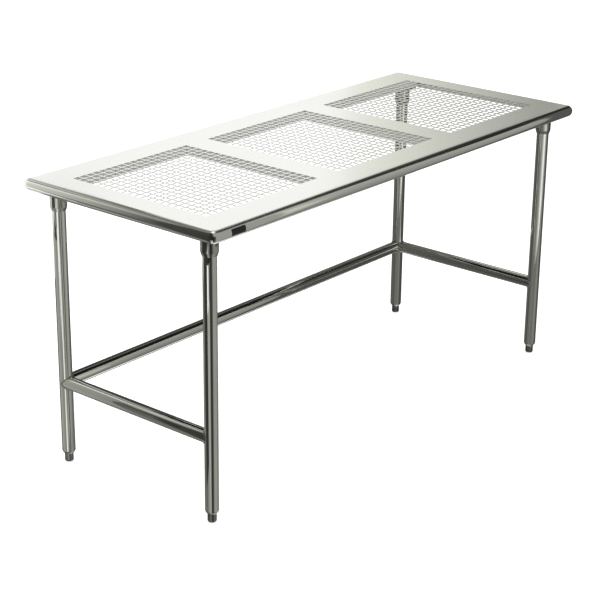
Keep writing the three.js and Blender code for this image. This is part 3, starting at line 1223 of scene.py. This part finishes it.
class TABLE_OT_bullets(bpy.types.Operator):
    """Makes the bullet ends of the levelling feet"""

    bl_idname = "cleanroom_table.make_bullets"
    bl_label = "Bullets"

    def execute(self, context):
        settings = context.scene.table_feet
        bore = stud_bore(settings)
        base = settings.base / 2

        def build(name, low, high, centre):
            wide = (high.x - low.x) / 2
            seat = high.z - settings.seat
            rounding = [
                (base + (wide - base) * math.sin(step / BULLET_STEPS * QUARTER),
                 settings.base_height * (1 - math.cos(step / BULLET_STEPS * QUARTER)), 0)
                for step in range(BULLET_STEPS + 1)
            ]
            corners = [
                (0, 0, 0), *rounding, (wide, high.z - settings.neck_height, BLUNT),
                (settings.neck / 2, high.z, SOFT), (bore, high.z, FINE), (bore, seat, FINE),
                (0, seat, 0),
            ]
            return turned(name, corners, TURNED_SIDES, centre, closed=False)

        material = steel_material("turned_bullet")
        finish_corners("turned_bullet", "foot_bullet", material, build, moves=True)
        return {"FINISHED"}


# Stage

WHITE = (1, 1, 1, 1)
FLOOR_HALF = 30.0
FLOOR_SHADE = 0.86
FLOOR_GLOW = 0.62
CARD_TINT = (1, 1.015, 0.94)
# Height of the dark sheet under the top: painted shade that polished parts mirror in place of the
# top's shaded underside
PAINTED_SHADE_UNDER_TOP = 0.865

# Upright studio cards: name, start and end in plan, low and high edge, first and last tone,
# and True where the tone changes upwards, not along the card
CARDS = [
    ("right", (2.42, -1.65), (4.93, 1.31), 1.83, 9.09, (0.01, 0.10), True),
    ("front_right", (1.00, -2.88), (6.32, 1.55), -3.85, 6.11, (0.12, 0.53), True),
    ("front_left", (-2.96, -1.20), (-4.22, -4.22), -0.58, 9.65, (0.01, 0.33)),
    ("right_low", (0.94, -0.51), (3.13, -0.03), -1.30, 1.13, (0.09, 0.02)),
    ("left", (-5.61, -1.21), (1.97, 2.98), -2.78, -0.56, (0.14, 0.58)),
    ("edge", (-1.37, 0.23), (-1.31, 1.17), 0.67, 1.70, (0.05, 0.96)),
    ("corner", (-1.090, -0.540), (-1.060, -0.100), 0.752, 2.00, (0.01, 0.05)),
    ("corner_front", (-3.07, 1.98), (-5.60, 4.37), -0.64, -0.07, (0.94, 0.22)),
    ("left_edge", (-1.09, 0.28), (-0.76, 1.90), -0.18, 0.68, (0.26, 1.00)),
    ("leg_side", (-1.308, -0.297), (-1.050, -0.044), -0.09, 4.00, (0.02, 0.05)),
    ("rail_side", (-1.68, 0.34), (-1.43, 0.96), -2.36, 3.84, (0.02, 0.12)),
    ("leg_front", (-1.88, -0.98), (-1.97, -4.11), -1.42, 1.40, (0.14, 0.41)),
    ("above_left", (-2.62, 1.22), (2.09, 3.33), 2.51, 3.54, (0.53, 0.01), True),
    ("back_right", (-4.30, 2.10), (3.37, 2.61), 3.70, 5.83, (0.36, 0.08)),
    ("front_low", (-2.35, 1.87), (1.97, -5.36), -3.16, -0.33, (0.11, 0.23)),
    ("near_leg", (-0.26, -2.53), (-1.04, -0.49), -3.39, 1.02, (0.73, 0.01)),
    ("behind_right", (4.53, 3.45), (5.86, 1.79), -0.86, 9.89, (0.86, 0.01)),
    ("behind_low", (6.37, -4.83), (3.64, -4.18), -5.16, 5.21, (0.23, 0.16)),
    ("behind_near", (-0.64, 0.51), (3.32, 0.49), -1.26, 0.88, (0.04, 0.26)),
    ("behind_far", (-0.43, 7.75), (2.65, 5.04), -0.75, 8.85, (0.60, 0.51)),
    ("above_corner", (-4.38, -2.01), (-1.01, 2.16), 2.06, 6.45, (0.23, 0.19), True),
    ("left_low", (-2.86, 0.18), (1.95, 1.50), -3.37, 0.47, (0.37, 0.10), True),
    ("above_right", (4.58, 1.84), (8.13, 1.83), -1.40, 6.69, (0.74, 0.01), True),
    ("left_strip", (-2.49, -3.91), (-1.74, -0.29), -1.72, 0.39, (1.00, 0.34)),
    ("left_narrow", (-4.79, 3.19), (-5.01, 0.75), -2.76, 9.01, (0.75, 0.61)),
    ("front_narrow", (-6.84, -4.25), (-0.44, -0.55), -4.76, 4.13, (0.36, 0.32)),
    ("leg_right", (0.51, -2.78), (0.76, -1.47), -2.96, 3.26, (0.11, 0.83), True),
]


def white_where_seen(tree, plain, seen):
    """Mixes two shaders: one for light on matt surfaces, one for what is seen or mirrored."""
    rays = add_node(tree, "ShaderNodeLightPath").outputs
    mirrored = add_math(tree, "MAXIMUM", rays["Is Glossy Ray"], rays["Is Transmission Ray"])
    direct = add_math(tree, "MAXIMUM", rays["Is Camera Ray"], mirrored)
    return add_node(tree, "ShaderNodeMixShader", {0: direct, 1: plain, 2: seen})


def make_world(sky):
    world = bpy.data.worlds.new("studio")
    bpy.context.scene.world = world
    world.use_nodes = True
    tree = world.node_tree
    tree.nodes.clear()
    plain, seen = (
        add_node(tree, "ShaderNodeBackground", {"Color": WHITE, "Strength": strength})
        for strength in (sky, 1.0)
    )
    mixed = white_where_seen(tree, plain, seen)
    add_node(tree, "ShaderNodeOutputWorld", {"Surface": mixed})


def stage_sheet(name, corners, material):
    """A flat sheet of four corners that belongs to the studio."""
    mesh = bpy.data.meshes.new(name)
    mesh.from_pydata(corners, [], [(0, 1, 2, 3)])
    mesh.materials.append(material)
    sheet = linked(name, mesh)
    return sheet


def make_floor():
    """A pale floor that keeps the shadow and is clear from below."""
    material, tree = node_material("pale_floor")
    matt = add_node(
        tree, "ShaderNodeBsdfDiffuse", {"Color": (FLOOR_SHADE, FLOOR_SHADE, FLOOR_SHADE, 1)}
    )
    glow = add_node(tree, "ShaderNodeEmission", {"Color": WHITE, "Strength": FLOOR_GLOW})
    lit = add_node(tree, "ShaderNodeAddShader", {0: matt, 1: glow})
    mixed = white_where_seen(tree, matt, lit)
    from_below = add_math(
        tree, "MULTIPLY", add_node(tree, "ShaderNodeNewGeometry").outputs["Backfacing"],
        add_node(tree, "ShaderNodeLightPath").outputs["Is Camera Ray"],
    )
    clear = add_node(tree, "ShaderNodeBsdfTransparent")
    choice = add_node(tree, "ShaderNodeMixShader", {0: from_below, 1: mixed, 2: clear})
    add_node(tree, "ShaderNodeOutputMaterial", {"Surface": choice})
    corners = level_rectangle((-FLOOR_HALF, -FLOOR_HALF), (FLOOR_HALF, FLOOR_HALF), 0)
    stage_sheet("floor", corners, material).visible_glossy = False


def make_reflector(name, corners, shades):
    """A four-cornered studio card, which only polished surfaces mirror."""
    material, tree = node_material(name)
    tone = add_node(tree, "ShaderNodeAttribute", attribute_name="tone")
    face = add_node(tree, "ShaderNodeEmission", {"Color": tone.outputs["Color"]})
    add_node(tree, "ShaderNodeOutputMaterial", {"Surface": face})
    card = stage_sheet(name, corners, material)
    tones = card.data.attributes.new("tone", "FLOAT_COLOR", "POINT")
    for index, shade in enumerate(shades):
        tones.data[index].color = (*(shade * part for part in CARD_TINT), 1)
    for ray in ("camera", "diffuse", "transmission", "volume_scatter", "shadow"):
        setattr(card, f"visible_{ray}", False)


def make_card(name, start, end, low, high, tones, upwards=False):
    """An upright graded card, its tone running along it or up it."""
    first, last = tones
    make_reflector(
        f"card_{name}", [(*start, low), (*end, low), (*end, high), (*start, high)],
        (first, first, last, last) if upwards else (first, last, last, first),
    )


def make_lamp(name, place, target, width, height, brightness):
    """A large soft lamp whose face has the given brightness, where 1 is white."""
    light = bpy.data.lights.new(name, "AREA")
    light.shape = "RECTANGLE"
    light.size, light.size_y = width, height
    light.energy = brightness * math.pi * width * height
    lamp = linked(name, light)
    lamp.location = place
    lamp.rotation_euler = (Vector(target) - Vector(place)).to_track_quat("-Z", "Y").to_euler()
    lamp.visible_camera = False
    lamp.visible_glossy = False


def make_camera(settings):
    data = bpy.data.cameras.new("camera")
    data.lens = settings.lens
    data.sensor_width = 36
    data.clip_start, data.clip_end = 0.05, 200
    azimuth, elevation = settings.azimuth, settings.elevation
    back = Vector((
        math.sin(azimuth) * math.cos(elevation), -math.cos(azimuth) * math.cos(elevation),
        math.sin(elevation),
    ))
    right = Vector((math.cos(azimuth), math.sin(azimuth), 0))
    turn = Matrix((right, back.cross(right), back)).transposed().to_4x4()
    camera = linked("camera", data)
    camera.matrix_world = (
        Matrix.Translation(settings.position) @ turn @ Matrix.Rotation(settings.roll, 4, "Z")
    )
    bpy.context.scene.camera = camera


class TABLE_OT_stage(bpy.types.Operator):
    """Makes the camera, the floor and the soft light"""

    bl_idname = "cleanroom_table.make_stage"
    bl_label = "Stage"

    def execute(self, context):
        settings = context.scene.table_studio
        make_camera(settings)
        context.scene.view_settings.view_transform = "Standard"
        make_world(settings.sky)
        make_floor()
        make_lamp("soft_light", (0.6, 3.6, 3.4), (0, 0, 0.9), 5.0, 3.0, settings.lamp)
        for card in CARDS:
            make_card(*card)
        # A dark sheet just under the top, seen only in reflections: painted shade that stands in
        # for the shaded underside
        painted_shade_under_top = level_rectangle((-0.79, -0.26), (0.79, 0.43), PAINTED_SHADE_UNDER_TOP)
        make_reflector("card_under_top", painted_shade_under_top, (0.01, 0.01, 0.01, 0.01))
        return {"FINISHED"}


# Add-on

SETTINGS = {
    "table_top": TopSettings,
    "table_channels": ChannelSettings,
    "table_frame": FrameSettings,
    "table_sockets": SocketSettings,
    "table_feet": FootSettings,
    "table_finish": FinishSettings,
    "table_studio": StudioSettings,
}
OPERATORS = [
    TABLE_OT_stage, TABLE_OT_top, TABLE_OT_channels, TABLE_OT_legs, TABLE_OT_rails,
    TABLE_OT_sockets, TABLE_OT_screws, TABLE_OT_inserts, TABLE_OT_studs, TABLE_OT_bullets,
    TABLE_OT_plate,
]


class TABLE_PT_panel(bpy.types.Panel):
    """Lists the pieces of the table and their sizes"""

    bl_idname = "TABLE_PT_panel"
    bl_label = "Cleanroom table"
    bl_space_type = "VIEW_3D"
    bl_region_type = "UI"
    bl_category = "Cleanroom table"

    def draw(self, context):
        for operator in OPERATORS:
            self.layout.operator(operator.bl_idname)
        for name, group in SETTINGS.items():
            box = self.layout.box()
            box.label(text=group.__doc__)
            settings = getattr(context.scene, name)
            for label in group.__annotations__:
                box.prop(settings, label)


def register():
    for group in (*SETTINGS.values(), *OPERATORS, TABLE_PT_panel):
        bpy.utils.register_class(group)
    for name, group in SETTINGS.items():
        setattr(bpy.types.Scene, name, PointerProperty(type=group))


def unregister():
    for name in SETTINGS:
        delattr(bpy.types.Scene, name)
    for group in reversed((*SETTINGS.values(), *OPERATORS, TABLE_PT_panel)):
        bpy.utils.unregister_class(group)


def main():
    register()
    for operator in OPERATORS:
        family, action = operator.bl_idname.split(".")
        getattr(getattr(bpy.ops, family), action)()


if __name__ == "__main__":
    main()
